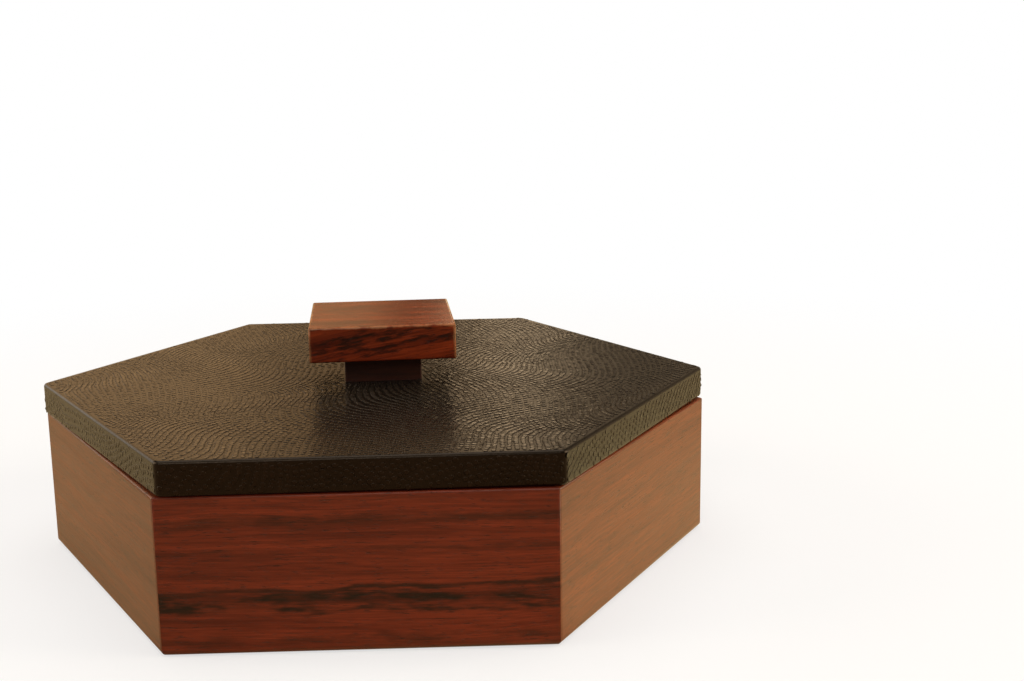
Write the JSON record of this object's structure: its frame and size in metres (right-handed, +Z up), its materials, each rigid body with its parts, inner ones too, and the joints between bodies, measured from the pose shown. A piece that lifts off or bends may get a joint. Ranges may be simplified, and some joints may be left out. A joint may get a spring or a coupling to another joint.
{
  "type": "lidded box",
  "caption": "Hexagonal wooden keepsake box with mitred walls and a leather-covered lid that lifts off by a square knob.",
  "frame": {"origin": "centre of the hexagonal outline, on the surface that the box stands on", "axes": "+X from corner to corner, +Y away from the front wall, +Z up"},
  "size_m": [0.1996, 0.1748, 0.0699],
  "materials": {
    "wall_wood": "satin lacquer over dark-streaked red-brown hardwood",
    "knob_wood": "satin lacquer over red-brown hardwood with black streaks",
    "neck_wood": "satin lacquer over dark hardwood",
    "spline_wood": "planed beech",
    "panel_wood": "sanded plywood",
    "leather": "semi-gloss, embossed with small scales",
    "felt": "wool felt",
    "steel": "zinc-plated"
  },
  "bodies": {
    "box": {"wall_front": "wall_wood", "wall_front_right": "wall_wood", "wall_back_right": "wall_wood", "wall_back": "wall_wood", "wall_back_left": "wall_wood", "wall_front_left": "wall_wood", "spline_right": "spline_wood", "spline_back_right": "spline_wood", "spline_back_left": "spline_wood", "spline_left": "spline_wood", "spline_front_left": "spline_wood", "spline_front_right": "spline_wood", "base_panel": "panel_wood", "base_lining": "felt"},
    "lid": {"lid_board": "panel_wood", "lid_leather": "leather", "lid_inset": "panel_wood", "lid_lining": "felt", "knob_neck": "neck_wood", "knob_cap": "knob_wood", "knob_dowel_left": "spline_wood", "knob_dowel_right": "spline_wood", "knob_screw": "steel", "knob_washer": "steel"}
  },
  "joints": [
    {"name": "lid_lift", "type": "slide", "parent": "box", "child": "lid", "axis": [0, 0, 1], "range_m": [0, 0.08]}
  ]
}
